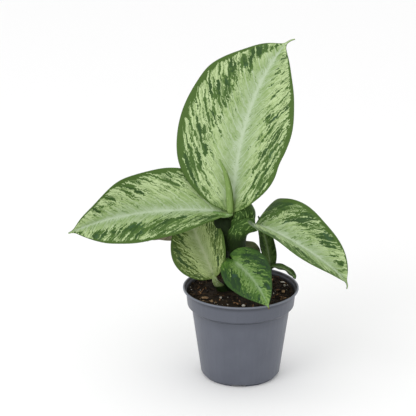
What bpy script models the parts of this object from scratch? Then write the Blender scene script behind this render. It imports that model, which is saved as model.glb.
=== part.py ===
"""A potted dieffenbachia: a young plant with marbled leaves in a round nursery pot.

The origin is the middle of the pot's foot, on the surface that the pot stands on, with +Z up.
Places and sizes in this file are in millimetres, and MM turns them into Blender's metres.
"""

from dataclasses import dataclass

import bmesh
import bpy
import numpy as np
from mathutils import Vector, noise

MM = 0.001
GAP = 0.3  # clearance between pieces that touch
SINK = 0.1  # how deep a shape reaches into the one that it is joined to

# Pot: a thin moulded shell with a flange at the mouth and a straight band below it
POT_HEIGHT = 96.7
RIM_RADIUS = 60.0
RIM_THICKNESS = 2.0
BAND_TOP_RADIUS = 57.0
BAND_FOOT_RADIUS = 55.4
BAND_FOOT_HEIGHT = 78.2
SHOULDER_RADIUS = 50.9
SHOULDER_HEIGHT = 74.4
WALL_FOOT_RADIUS = 41.6
FOOT_ROUNDING = 5.5
FOOT_RADIUS = 38.0
FOOT_LIFT = 1.0
POT_WALL = 1.2
POT_SIDES = 48

# Drain channels under the pot: raised pads inside, hollow below, each with a hole
CHANNELS = 4
CHANNEL_TURN = -94.0
CHANNEL_WIDTH = 15.0
CHANNEL_HEIGHT = 2.0
CHANNEL_START = 20.0
DRAIN_RADIUS = 3.0
DRAIN_PLACE = 27.0

# Soil: one block of compost, with a lumpy top and a socket for each stem
SOIL_HEIGHT = 91.3
SOIL_FLOOR = 4.2
SOIL_RINGS = 9
LUMP_HEIGHT = 1.0
LUMP_SIZE = 14.0
SOCKET_DEPTH = 14.0

# Leaves
BLADE_THICKNESS = 0.9
MIDRIB_HALF_WIDTH = 1.2
TIP_HALF_WIDTH = 0.4
LOBE_SPAN = 0.35  # part of the length over which the base lobes fade out
BEND_START = 1.3  # above 1, a leaf bends less near its base than near its tip
MIDLINE_STEPS = 240  # steps in which a midrib's course is added up

LEAF_GREEN = (0.22, 0.36, 0.13)
PALE_GREEN = (0.36, 0.47, 0.24)
YOUNG_GREEN = (0.24, 0.40, 0.12)
DARK_GREEN = (0.05, 0.09, 0.02)
WITHERED_BROWN = (0.22, 0.19, 0.12)
POT_GREY = (0.13, 0.14, 0.17)
SOIL_BROWN = (0.025, 0.015, 0.009)
BARK_TAN = (0.42, 0.29, 0.17)
PERLITE_WHITE = (0.72, 0.70, 0.65)


@dataclass
class Leaf:
    """One leaf blade, described as a grower would: where it starts, how it leans, its size."""

    base: tuple  # where the blade meets its stalk
    length: float
    width: float
    heading: float  # compass direction of the midrib at the base, degrees from +X towards +Y
    rise: float  # slope of the midrib at the base, degrees above level
    swing: float = 0.0  # how far the heading has turned at the tip
    droop: float = 0.0  # how far the slope has fallen at the tip
    roll: float = 0.0  # turn of the blade about its midrib at the base
    twist: float = 0.0  # further turn of the blade by the tip
    fold: float = 20.0  # angle of each half above a flat blade
    curl: float = 0.0  # how much of that angle is lost towards the margin
    shoulder: float = 0.55  # fullness of the outline near the base, smaller is fuller
    point: float = 0.77  # the same near the tip
    lobe: float = 0.0  # how far the base lobes reach back, as a part of the length
    blade_end: float = 0.94  # part of the length taken by the blade, the rest is the drip tip
    nod: float = 0.0  # downward hook of the drip tip
    veer: float = 0.0  # sideways hook of the drip tip
    colour: tuple = LEAF_GREEN
    rows: int = 10
    columns: int = 6


LEAVES = {
    "leaf_top": Leaf(
        base=(-9.5, 4, 176), length=196, width=131, heading=75, rise=73, swing=-57, droop=27,
        roll=-14, twist=52, fold=25, curl=4, shoulder=0.63, point=0.78, nod=39, veer=-21,
        blade_end=0.935, colour=PALE_GREEN, rows=16, columns=8,
    ),
    "leaf_left": Leaf(
        base=(-15.5, 8.6, 175.2), length=167, width=87, heading=172, rise=1.6, swing=41.5, droop=14.6,
        roll=-32, twist=-46, fold=34, curl=3, shoulder=0.5, point=0.76, lobe=0.02, blade_end=0.965,
        colour=PALE_GREEN, rows=16, columns=8,
    ),
    "leaf_right": Leaf(
        base=(14.5, -4, 166.5), length=132, width=74, heading=-57, rise=4, swing=54, droop=56,
        roll=11, twist=31, fold=38, curl=-8, shoulder=0.5, point=0.75, lobe=0.03, nod=48,
        blade_end=0.93, rows=14, columns=8,
    ),
    "leaf_low_left": Leaf(
        base=(-27, -6, 109), length=80, width=61, heading=133, rise=55, swing=4, droop=1,
        roll=-69, twist=24, fold=23, shoulder=0.56, point=0.76, lobe=0.01,
    ),
    "leaf_front": Leaf(
        base=(-8.5, -13.5, 130.5), length=72, width=47, heading=-45, rise=-20, swing=-26, droop=16,
        roll=40, twist=2, fold=20, curl=8, shoulder=0.48, point=0.9, lobe=0.1, nod=10,
        colour=YOUNG_GREEN,
    ),
    "leaf_narrow": Leaf(
        base=(32, 20, 108.3), length=58, width=15, heading=150, rise=84, droop=16, roll=-50,
        fold=28, shoulder=0.6, point=0.7, colour=DARK_GREEN, columns=4,
    ),
    "leaf_strap": Leaf(
        base=(31.2, 13, 113.2), length=30.5, width=7.6, heading=-2, rise=2, swing=-25, droop=60,
        roll=12, fold=12, curl=-10, shoulder=0.25, point=0.3, blade_end=0.97, colour=DARK_GREEN,
        columns=4,
    ),
    "leaf_withered": Leaf(
        base=(-24, 26, 142.2), length=77, width=19, heading=178, rise=4, swing=6, droop=14,
        roll=-30, blade_end=0.88, nod=150, colour=WITHERED_BROWN, rows=14, columns=4,
    ),
    "leaf_back": Leaf(
        base=(-1.5, 20, 134), length=26, width=14.5, heading=5, rise=-8, swing=10, droop=50,
        roll=-48, colour=DARK_GREEN, columns=4,
    ),
}

# Stems and leaf stalks: (x, y, z, radius) along each one, from its foot
STEMS = {
    "stem": [(-11, 6, 75, 7), (-10.5, 6, 92, 7.4), (-9.5, 5, 115, 8.6), (-9.5, 5, 140, 9.6),
             (-9.5, 5, 158, 9), (-9.8, 5, 166, 7.5)],
    "side_shoot": [(24, 25, 75, 3.6), (24, 25, 88, 3.8), (24.4, 24.5, 93.5, 3.7), (27, 21.5, 99, 3.7)],
}
STALKS = {
    "stalk_top": [(-7.6, 6.2, 166.7, 2.6), (-7.9, 5.9, 170, 2.4), (-9.3, 4, 175.4, 1.8)],
    "stalk_left": [(-13.8, 6, 166.7, 2.4), (-14, 6.4, 170, 2.2), (-14.7, 8.4, 173.2, 1.6)],
    "stalk_right": [(0.5, -3.8, 144, 4), (3, -4.6, 152, 4.8), (8, -4.6, 159, 4.6), (13.4, -3.5, 164.6, 3)],
    "stalk_low_left": [(-21, 3, 93.5, 2.8), (-23.4, 0.4, 100, 2.6), (-26.6, -5.1, 108.2, 2)],
    "stalk_front": [(-9, -5.4, 100, 2.5), (-9, -6.2, 112, 2.5), (-8.6, -12.3, 129.8, 2.2)],
    "stalk_narrow": [(28.4, 22.6, 99.8, 1.7), (31.8, 20.2, 107.6, 1.5)],
    "stalk_strap": [(26.6, 19.6, 99.6, 1.6), (28.4, 16, 106.6, 1.5), (30.6, 13.3, 112.6, 1.4)],
    "stalk_withered": [(-15.7, 13.9, 112, 2.4), (-18, 18, 128, 2.4), (-23, 25, 141, 2)],
    "stalk_back": [(-6.3, 14.8, 98, 2.5), (-5.8, 15.8, 113, 2.5), (-3, 19.6, 133.1, 2)],
}
NEW_LEAF = [(-11, -0.4, 166.6, 2.6), (-11.6, -1, 178, 3.6), (-12.6, 2, 200, 3.2), (-16, 6, 217, 2.2),
            (-22.5, 10, 231, 0.7)]

# Loose bits on the soil: (x, y, longest side, turn in degrees)
BARK_CHIPS = {"bark_chip_1": (-37, -23, 9, 20), "bark_chip_2": (-30, -33, 7, 75),
              "bark_chip_3": (44, -6, 8, 100), "bark_chip_4": (-4, 40, 9, 50)}
PERLITE_GRAINS = {"perlite_1": (2, -45, 4.0, 0), "perlite_2": (-21, -22, 3.4, 30),
                  "perlite_3": (46, 12, 3.4, 60), "perlite_4": (-28, 34, 4.0, 10)}
BARK_SHAPE = (1.0, 0.5, 0.26)
PERLITE_SHAPE = (1.0, 0.85, 0.7)


def clear_scene():
    for obj in list(bpy.data.objects):
        bpy.data.objects.remove(obj, do_unlink=True)


def new_collection(name):
    collection = bpy.data.collections.new(name)
    bpy.context.scene.collection.children.link(collection)
    return collection


def material(name, colour, roughness):
    """A plain Principled material, made once for each name."""
    made = bpy.data.materials.get(name)
    if made is None:
        made = bpy.data.materials.new(name)
        made.use_nodes = True
        shader = made.node_tree.nodes["Principled BSDF"]
        shader.inputs["Base Color"].default_value = (*colour, 1)
        shader.inputs["Roughness"].default_value = roughness
        shader.inputs["Metallic"].default_value = 0.0
    return made


def add_object(name, data, collection):
    obj = bpy.data.objects.new(name, data)
    collection.objects.link(obj)
    return obj


def mesh_of(bm, name):
    mesh = bpy.data.meshes.new(name)
    bm.to_mesh(mesh)
    bm.free()
    return mesh


def smooth(mesh, angle=35):
    mesh.shade_smooth()
    mesh.set_sharp_from_angle(angle=np.radians(angle))


def turned(name, profile, sides, collection):
    """A solid of revolution about Z from (radius, height) points, from its inside to its outside."""
    bm = bmesh.new()
    points = [bm.verts.new((r * MM, 0, z * MM)) for r, z in profile]
    for a, b in zip(points, points[1:]):
        bm.edges.new((a, b))
    obj = add_object(name, mesh_of(bm, name), collection)
    screw = obj.modifiers.new("Turn", "SCREW")
    screw.steps = screw.render_steps = sides
    screw.use_merge_vertices = True
    screw.merge_threshold = 0.00001
    return obj


def make_mesh(obj):
    """Replaces an object with the plain mesh that its modifiers or its curve give."""
    bpy.context.view_layer.update()
    evaluated = obj.evaluated_get(bpy.context.evaluated_depsgraph_get())
    mesh = bpy.data.meshes.new_from_object(evaluated)
    bm = bmesh.new()
    bm.from_mesh(mesh)
    bmesh.ops.remove_doubles(bm, verts=bm.verts, dist=0.000005)
    bm.to_mesh(mesh)
    bm.free()
    name, collection, place = obj.name, obj.users_collection[0], obj.matrix_world.copy()
    bpy.data.objects.remove(obj)
    made = add_object(name, mesh, collection)
    made.matrix_world = place
    return made


def block(name, size, place, turn, collection):
    """A box as a helper for a Boolean, turned about Z."""
    bm = bmesh.new()
    bmesh.ops.create_cube(bm, size=1.0)
    bmesh.ops.scale(bm, verts=bm.verts, vec=Vector(size) * MM)
    bmesh.ops.translate(bm, verts=bm.verts, vec=Vector(place) * MM)
    obj = add_object(name, mesh_of(bm, name), collection)
    obj.rotation_euler.z = np.radians(turn)
    return obj


def rod(name, radius, centre, low, high, collection, sides=24):
    """An upright cylinder round an (x, y) place from one height to another, as a helper for a Boolean."""
    bm = bmesh.new()
    bmesh.ops.create_cone(
        bm, cap_ends=True, segments=sides, radius1=radius * MM, radius2=radius * MM,
        depth=(high - low) * MM,
    )
    obj = add_object(name, mesh_of(bm, name), collection)
    obj.location = Vector((*centre, (low + high) / 2)) * MM
    return obj


def boolean(obj, helper, operation):
    helper.hide_render = True
    helper.display_type = "WIRE"
    cut = obj.modifiers.new(helper.name, "BOOLEAN")
    cut.operation = operation
    cut.object = helper
    cut.solver = "EXACT"


def arc(centre, radius, start, end, count):
    """Points (radius, height) on an arc about a centre, angles in degrees."""
    return [
        (centre[0] + radius * np.cos(a), centre[1] + radius * np.sin(a))
        for a in np.radians(np.linspace(start, end, count))
    ]


def wall_radius(height):
    """Outer radius of the tapered wall below the shoulder."""
    share = (height - FOOT_ROUNDING) / (SHOULDER_HEIGHT - FOOT_ROUNDING)
    return WALL_FOOT_RADIUS + share * (SHOULDER_RADIUS - WALL_FOOT_RADIUS)


def add_pot(part, cutters):
    """Turned shell, from the middle of its inner floor up to the rim and down the outside."""
    rounding_centre = (WALL_FOOT_RADIUS - FOOT_ROUNDING, FOOT_ROUNDING + FOOT_LIFT)
    inner_centre = (rounding_centre[0], rounding_centre[1] + POT_WALL)  # leaves room for the channels
    inner_rounding = arc(inner_centre, FOOT_ROUNDING - POT_WALL, -90, 0, 5)
    outer_rounding = arc(rounding_centre, FOOT_ROUNDING, 0, -70, 5)
    profile = [(0, POT_WALL), (inner_centre[0] - 2, POT_WALL)]
    profile += inner_rounding
    profile += [
        (SHOULDER_RADIUS - POT_WALL, SHOULDER_HEIGHT),
        (BAND_FOOT_RADIUS - POT_WALL, BAND_FOOT_HEIGHT + POT_WALL),
        (BAND_TOP_RADIUS - POT_WALL, POT_HEIGHT - 0.4),
        (BAND_TOP_RADIUS - POT_WALL + 0.5, POT_HEIGHT),
        (RIM_RADIUS - 0.5, POT_HEIGHT),
        (RIM_RADIUS, POT_HEIGHT - 0.5),
        (RIM_RADIUS, POT_HEIGHT - RIM_THICKNESS + 0.5),
        (RIM_RADIUS - 0.5, POT_HEIGHT - RIM_THICKNESS),
        (BAND_TOP_RADIUS, POT_HEIGHT - RIM_THICKNESS - 0.3),
        (BAND_FOOT_RADIUS, BAND_FOOT_HEIGHT),
        (SHOULDER_RADIUS, SHOULDER_HEIGHT),
    ]
    profile += outer_rounding
    profile += [(FOOT_RADIUS, FOOT_LIFT), (FOOT_RADIUS, 0.5), (FOOT_RADIUS - 0.5, 0), (0, 0)]
    pot = turned("pot", profile, POT_SIDES, part)
    pot = make_mesh(pot)
    for i in range(CHANNELS):
        turn = CHANNEL_TURN + i * 360 / CHANNELS
        reach = FOOT_RADIUS - CHANNEL_START
        pad = block(
            f"channel_pad_{i}",
            (reach, CHANNEL_WIDTH + 2 * POT_WALL, CHANNEL_HEIGHT),
            (CHANNEL_START - POT_WALL + reach / 2, 0, POT_WALL + CHANNEL_HEIGHT / 2 - SINK),
            turn, cutters,
        )
        boolean(pot, pad, "UNION")
        hollow = block(
            f"channel_hollow_{i}",
            (reach + 20, CHANNEL_WIDTH, CHANNEL_HEIGHT * 2),
            (CHANNEL_START + (reach + 20) / 2, 0, 0), turn, cutters,
        )
        boolean(pot, hollow, "DIFFERENCE")
        angle = np.radians(turn)
        centre = (DRAIN_PLACE * np.cos(angle), DRAIN_PLACE * np.sin(angle))
        drain = rod(f"drain_hole_{i}", DRAIN_RADIUS, centre, -2, 8, cutters, 16)
        boolean(pot, drain, "DIFFERENCE")
    smooth(pot.data)
    pot.data.materials.append(material("pot plastic", POT_GREY, 0.45))


def soil_top(x, y):
    """Height of the lumpy soil surface over a place, flat at the pot's wall."""
    inward = np.clip((BAND_TOP_RADIUS - 4 - np.hypot(x, y)) / 8, 0, 1)
    return SOIL_HEIGHT + inward * LUMP_HEIGHT * noise.noise(Vector((x, y, 0)) / LUMP_SIZE)


def add_soil(part, cutters):
    """A turned block that fills the pot, its top rings raised and lowered into lumps."""
    inside = POT_WALL + GAP
    top_radius = BAND_FOOT_RADIUS - inside + (
        (SOIL_HEIGHT - BAND_FOOT_HEIGHT) * (BAND_TOP_RADIUS - BAND_FOOT_RADIUS)
        / (POT_HEIGHT - BAND_FOOT_HEIGHT)
    ) - 0.2
    bottom_radius = WALL_FOOT_RADIUS - FOOT_ROUNDING + 1.4
    profile = [(r, SOIL_HEIGHT) for r in np.linspace(0, top_radius, SOIL_RINGS)]
    profile += [
        (BAND_FOOT_RADIUS - inside, BAND_FOOT_HEIGHT + inside),
        (SHOULDER_RADIUS - inside, SHOULDER_HEIGHT + 0.6),
        (wall_radius(FOOT_ROUNDING + FOOT_LIFT) - inside - 0.4, FOOT_ROUNDING + FOOT_LIFT),
        (bottom_radius, SOIL_FLOOR),
        (0, SOIL_FLOOR),
    ]
    soil = make_mesh(turned("soil", profile, POT_SIDES, part))
    for vertex in soil.data.vertices:
        if abs(vertex.co.z - SOIL_HEIGHT * MM) < 0.01 * MM:
            vertex.co.z = soil_top(vertex.co.x / MM, vertex.co.y / MM) * MM
    for name, path in STEMS.items():
        x, y, foot, _ = path[0]
        widest = max(point[3] for point in path[:2])
        socket = rod(
            f"{name}_socket", widest + 3 * GAP, (x, y), foot - 2 * GAP, SOIL_HEIGHT + 8, cutters
        )
        boolean(soil, socket, "DIFFERENCE")
    smooth(soil.data)
    soil.data.materials.append(material("soil", SOIL_BROWN, 0.95))


def add_tube(name, path, part, colour, roughness=0.45):
    """A round stem through (x, y, z, radius) points, with closed ends."""
    curve = bpy.data.curves.new(name, "CURVE")
    curve.dimensions = "3D"
    curve.bevel_depth = MM
    curve.bevel_resolution = 2
    curve.use_fill_caps = True
    curve.resolution_u = 4
    spline = curve.splines.new("BEZIER")
    spline.bezier_points.add(len(path) - 1)
    for point, (x, y, z, radius) in zip(spline.bezier_points, path):
        point.co = Vector((x, y, z)) * MM
        point.radius = radius
        point.handle_left_type = point.handle_right_type = "AUTO"
    obj = make_mesh(add_object(name, curve, part))
    smooth(obj.data, 50)
    obj.data.materials.append(material(f"{name} skin", colour, roughness))
    return obj


def midline(leaf, along):
    """A leaf's midrib at parts of its length: places, then forward, face and side directions."""
    fine = np.linspace(0, 1, MIDLINE_STEPS + 1)
    bend = fine**BEND_START
    hook = np.clip((fine - leaf.blade_end) / (1 - leaf.blade_end), 0, 1)
    heading = np.radians(leaf.heading + leaf.swing * bend + leaf.veer * hook)
    rise = np.radians(leaf.rise - leaf.droop * bend - leaf.nod * hook)
    roll = np.radians(leaf.roll + leaf.twist * fine)[:, None]
    level = np.stack([np.cos(heading), np.sin(heading), 0 * heading], axis=-1)
    upward = np.array([0.0, 0.0, 1.0])
    forward = level * np.cos(rise)[:, None] + upward * np.sin(rise)[:, None]
    above = upward * np.cos(rise)[:, None] - level * np.sin(rise)[:, None]
    face = above * np.cos(roll) + np.cross(forward, above) * np.sin(roll)
    side = np.cross(forward, face)
    steps = (forward[1:] + forward[:-1]) / 2 * leaf.length / MIDLINE_STEPS
    place = np.vstack([np.zeros((1, 3)), np.cumsum(steps, axis=0)]) + np.array(leaf.base)

    def pick(values):
        return np.stack([np.interp(along, fine, values[:, i]) for i in range(3)], axis=-1)

    return pick(place), pick(forward), pick(face), pick(side)


def half_width(leaf, along):
    """Half the blade's width at parts of its length, with a thin drip tip past the blade's end."""
    share = np.clip(along / leaf.blade_end, 0, 1)
    widest = leaf.shoulder / (leaf.shoulder + leaf.point)
    outline = (share / widest) ** leaf.shoulder * ((1 - share) / (1 - widest)) ** leaf.point
    return leaf.width / 2 * outline + MIDRIB_HALF_WIDTH * np.sqrt(1 - along) + TIP_HALF_WIDTH


def blade_points(leaf, along, across):
    """The blade's middle surface: a row for each part of its length, a column from margin to margin."""
    place, forward, face, side = midline(leaf, along)
    out = np.abs(across)[None, :]
    reach = half_width(leaf, along)[:, None] * out
    tilt = np.radians(leaf.fold - leaf.curl * out / 2)
    back = leaf.lobe * leaf.length * out**1.5 * np.clip(1 - along[:, None] / LOBE_SPAN, 0, 1) ** 2
    sideways = reach * np.cos(tilt) * np.sign(across)[None, :]
    raised = reach * np.sin(tilt)
    return (
        place[:, None]
        + side[:, None] * sideways[..., None]
        + face[:, None] * raised[..., None]
        - forward[:, None] * back[..., None]
    )


def add_blade(name, leaf, part):
    """A flat grid bent row by row along the midrib, then given its thickness."""
    bm = bmesh.new()
    bmesh.ops.create_grid(bm, x_segments=leaf.columns, y_segments=leaf.rows, size=1.0)
    across = np.linspace(-1, 1, leaf.columns + 1)
    along = np.linspace(0, 1, leaf.rows + 1)
    points = blade_points(leaf, along, across) * MM
    for vertex in bm.verts:
        column = round((vertex.co.x + 1) / 2 * leaf.columns)
        row = round((vertex.co.y + 1) / 2 * leaf.rows)
        vertex.co = points[row, column]
    obj = add_object(name, mesh_of(bm, name), part)
    thick = obj.modifiers.new("Thickness", "SOLIDIFY")
    thick.thickness = BLADE_THICKNESS * MM
    thick.offset = 0.0
    smooth(obj.data, 60)
    obj.data.materials.append(material(f"{name} green", leaf.colour, 0.4))


def add_grain(name, place, shape, part, colour, seed):
    """A small rough lump that lies on the soil, just clear of its highest lump underneath."""
    x, y, longest, turn = place
    size = np.array(shape) * longest
    bm = bmesh.new()
    bmesh.ops.create_icosphere(bm, subdivisions=1, radius=0.5)
    for vertex in bm.verts:
        vertex.co *= 1 + 0.25 * noise.noise(vertex.co * 3 + Vector((seed, 0, 0)))
    bmesh.ops.scale(bm, verts=bm.verts, vec=Vector(size) * MM)
    steps = np.linspace(-longest / 2, longest / 2, 5)
    ground = max(soil_top(x + u, y + v) for u in steps for v in steps)
    lowest = min(vertex.co.z for vertex in bm.verts)
    obj = add_object(name, mesh_of(bm, name), part)
    obj.rotation_euler.z = np.radians(turn)
    obj.location = (x * MM, y * MM, (ground + GAP) * MM - lowest)
    obj.data.materials.append(material(f"{name} crumb", colour, 0.9))


def build():
    clear_scene()
    part = new_collection("potted_dieffenbachia")
    cutters = new_collection("cutters")
    add_pot(part, cutters)
    add_soil(part, cutters)
    for name, path in STEMS.items():
        add_tube(name, path, part, DARK_GREEN)
    for name, path in STALKS.items():
        add_tube(name, path, part, LEAF_GREEN)
    add_tube("new_leaf", NEW_LEAF, part, YOUNG_GREEN)
    for name, leaf in LEAVES.items():
        add_blade(name, leaf, part)
    for seed, (name, place) in enumerate(BARK_CHIPS.items()):
        add_grain(name, place, BARK_SHAPE, part, BARK_TAN, seed)
    for seed, (name, place) in enumerate(PERLITE_GRAINS.items()):
        add_grain(name, place, PERLITE_SHAPE, part, PERLITE_WHITE, 10 + seed)


build()
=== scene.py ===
# %% [markdown]
# # A potted dieffenbachia
# This lesson builds the finished look of a young dieffenbachia in a grey nursery pot.
# A plain solid model of it exists already: it is the frame, and it says where each stem, leaf and pot wall is.
# The lesson puts a finer piece in the place of each solid, and gives every surface its own node material.

# %% Load the frame
from dataclasses import dataclass, field

import bmesh
import bpy
import numpy as np
from mathutils import Euler, Matrix, Vector, noise


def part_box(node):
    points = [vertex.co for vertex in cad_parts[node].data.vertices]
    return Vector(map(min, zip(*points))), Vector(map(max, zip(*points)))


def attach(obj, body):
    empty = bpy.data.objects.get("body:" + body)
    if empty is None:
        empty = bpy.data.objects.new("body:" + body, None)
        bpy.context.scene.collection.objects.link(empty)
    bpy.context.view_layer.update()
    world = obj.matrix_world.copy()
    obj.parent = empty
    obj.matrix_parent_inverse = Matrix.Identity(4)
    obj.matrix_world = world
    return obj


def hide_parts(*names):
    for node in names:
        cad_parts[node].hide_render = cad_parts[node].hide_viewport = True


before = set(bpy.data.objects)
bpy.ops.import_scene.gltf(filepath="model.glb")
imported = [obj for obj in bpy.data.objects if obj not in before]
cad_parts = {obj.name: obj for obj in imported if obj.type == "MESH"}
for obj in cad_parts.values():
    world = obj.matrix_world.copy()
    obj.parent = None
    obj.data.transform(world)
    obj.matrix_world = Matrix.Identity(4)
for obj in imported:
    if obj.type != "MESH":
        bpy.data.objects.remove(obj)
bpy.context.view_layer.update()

MM = 0.001

# %% [markdown]
# The camera comes first, so that every later step can be judged through it.
# A long lens from one and a half metres away keeps the pot's sides nearly parallel, as in a catalogue picture.
# The lens looks a little down, so that the soil shows inside the rim.

# %% Camera
AIM = Vector((-0.034, 0.0, 0.182))
CAMERA_DISTANCE = 1.6
CAMERA_RISE = np.radians(18.6)
FOCAL_LENGTH = 135.8
offset = Vector((0, -np.cos(CAMERA_RISE), np.sin(CAMERA_RISE))) * CAMERA_DISTANCE
bpy.ops.object.camera_add(location=AIM + offset, rotation=(np.pi / 2 - CAMERA_RISE, 0, 0))
camera = bpy.context.object
camera.data.lens = FOCAL_LENGTH
camera.data.clip_start = 0.1
bpy.context.scene.camera = camera
print("camera at", [round(x, 3) for x in camera.location])

# %% [markdown]
# Blender's modelling tools act on whatever is selected. The helpers below keep that under control.
# `start` adds a primitive with nothing else selected and opens it in edit mode, where `pick` selects exactly the
# vertices that a step needs. `turn` and `stretch` are the rotate and scale tools about the world's origin.
# With no window open the rotate tool turns the other way, so `turn` gives it the opposite angle.

# %% Modelling helpers
def start(name, add, **settings):
    """Adds a primitive with the given tool, names it, and opens it in edit mode with nothing selected."""
    bpy.ops.object.select_all(action="DESELECT")
    add(**settings)
    obj = bpy.context.object
    obj.name = obj.data.name = name
    bpy.ops.object.mode_set(mode="EDIT")
    bpy.context.tool_settings.mesh_select_mode = (True, False, False)
    bpy.ops.mesh.select_all(action="DESELECT")
    return obj


def pick(obj, chosen):
    """Selects exactly these vertices, given by their numbers."""
    bpy.ops.mesh.select_all(action="DESELECT")
    bm = bmesh.from_edit_mesh(obj.data)
    bm.verts.ensure_lookup_table()
    for number in chosen:
        bm.verts[int(number)].select = True
    bm.select_flush_mode()
    bmesh.update_edit_mesh(obj.data)


def pick_all():
    bpy.ops.mesh.select_all(action="SELECT")


def face_outwards():
    pick_all()
    bpy.ops.mesh.normals_make_consistent(inside=False)


def move(x, y, z):
    bpy.ops.transform.translate(value=(x, y, z))


def turn(angles):
    """Turns what is selected about the world's X, then Y, then Z axis."""
    for axis, angle in zip("XYZ", angles):
        bpy.ops.transform.rotate(value=-angle, orient_axis=axis, center_override=(0, 0, 0))


def stretch(x, y, z):
    bpy.ops.transform.resize(value=(x, y, z), center_override=(0, 0, 0))


def close_edit():
    bpy.ops.object.mode_set(mode="OBJECT")


def choose(*objects):
    """Selects exactly these objects. The first becomes the active one."""
    bpy.ops.object.select_all(action="DESELECT")
    for obj in objects:
        obj.select_set(True)
    bpy.context.view_layer.objects.active = objects[0]


def apply(obj, kind, **settings):
    """Adds a modifier with these settings and applies it."""
    choose(obj)
    modifier = obj.modifiers.new(kind.title(), kind)
    for key, value in settings.items():
        setattr(modifier, key, value)
    bpy.ops.object.modifier_apply(modifier=modifier.name)


def subdivide(obj, levels):
    apply(obj, "SUBSURF", levels=levels, render_levels=levels)


def thicken(obj, wall):
    """Gives a sheet a wall, in millimetres, half of it on each side."""
    apply(obj, "SOLIDIFY", thickness=wall * MM, offset=0.0)


def ball(name, subdivisions):
    """Starts a ball one unit across, all of it selected."""
    obj = start(name, bpy.ops.mesh.primitive_ico_sphere_add, subdivisions=subdivisions, radius=0.5)
    pick_all()
    return obj


print("modelling helpers ready")

# %% Helpers that read and write meshes
def points_of(mesh):
    """A mesh's points as an array, a row for each vertex."""
    points = np.empty(len(mesh.vertices) * 3)
    mesh.vertices.foreach_get("co", points)
    return points.reshape(-1, 3)


def normals_of(mesh):
    normals = np.empty(len(mesh.vertices) * 3, np.float32)
    mesh.vertex_normals.foreach_get("vector", normals)
    return normals.reshape(-1, 3).astype(float)


def set_points(mesh, points):
    mesh.vertices.foreach_set("co", points.astype(np.float32).ravel())
    mesh.update()


def push_out(mesh, distance):
    """Moves each point along its normal by its own distance in millimetres."""
    set_points(mesh, points_of(mesh) + normals_of(mesh) * distance[:, None] * MM)


def store(mesh, name, values):
    """Keeps a number or a vector for each vertex, which materials can read."""
    values = np.asarray(values, np.float32)
    vector = values.size == 3 * len(mesh.vertices)
    attribute = mesh.attributes.new(name, "FLOAT_VECTOR" if vector else "FLOAT", "POINT")
    attribute.data.foreach_set("vector" if vector else "value", values.ravel())


def read(mesh, name):
    values = np.empty(len(mesh.vertices) * 3, np.float32)
    mesh.attributes[name].data.foreach_get("vector", values)
    return values.reshape(-1, 3).astype(float)


def put(obj, nodes, material):
    """Finishes a piece: its material, the solids that it stands for, and the body it moves with."""
    obj.data.materials.clear()
    obj.data.materials.append(material)
    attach(obj, "root")
    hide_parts(*nodes)
    print(obj.name, len(obj.data.polygons), "faces")


print("mesh helpers ready")

# %% [markdown]
# A node material is arithmetic on values that change over the surface. Written node by node it is hard to read.
# The class `Wire` wraps an output socket, so that `1 - mask * 0.5` adds the Math nodes that work it out.
# `Finish` is a material being made. Its one method `node` adds any other node: it sets the node's options first and
# then fills its sockets with plain values or with wires.

# %% Wires
def operator(operation, swapped=False):
    """A Math node as one of Python's operators. It is swapped where the wire stands on the right of a number."""

    def work_out(self, other):
        return self.maths(operation, *((other, self) if swapped else (self, other)))

    return work_out


class Wire:
    """A number that varies over the surface, as the output of a shader node."""

    def __init__(self, finish, socket):
        self.finish = finish
        self.socket = socket

    def maths(self, operation, *values):
        return self.finish.node("ShaderNodeMath", {"operation": operation}, dict(enumerate(values)))

    __add__ = operator("ADD")
    __radd__ = operator("ADD", swapped=True)
    __sub__ = operator("SUBTRACT")
    __rsub__ = operator("SUBTRACT", swapped=True)
    __mul__ = operator("MULTIPLY")
    __rmul__ = operator("MULTIPLY", swapped=True)

    def __abs__(self):
        return self.maths("ABSOLUTE", self)

    def sine(self):
        return self.maths("SINE", self)

    def between(self, low, high):
        """0 below low, 1 above high, and a smooth step between them."""
        settings = {"interpolation_type": "SMOOTHSTEP"}
        return self.finish.node("ShaderNodeMapRange", settings, {0: self, 1: low, 2: high, 3: 0, 4: 1})


print("wires ready")

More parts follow.
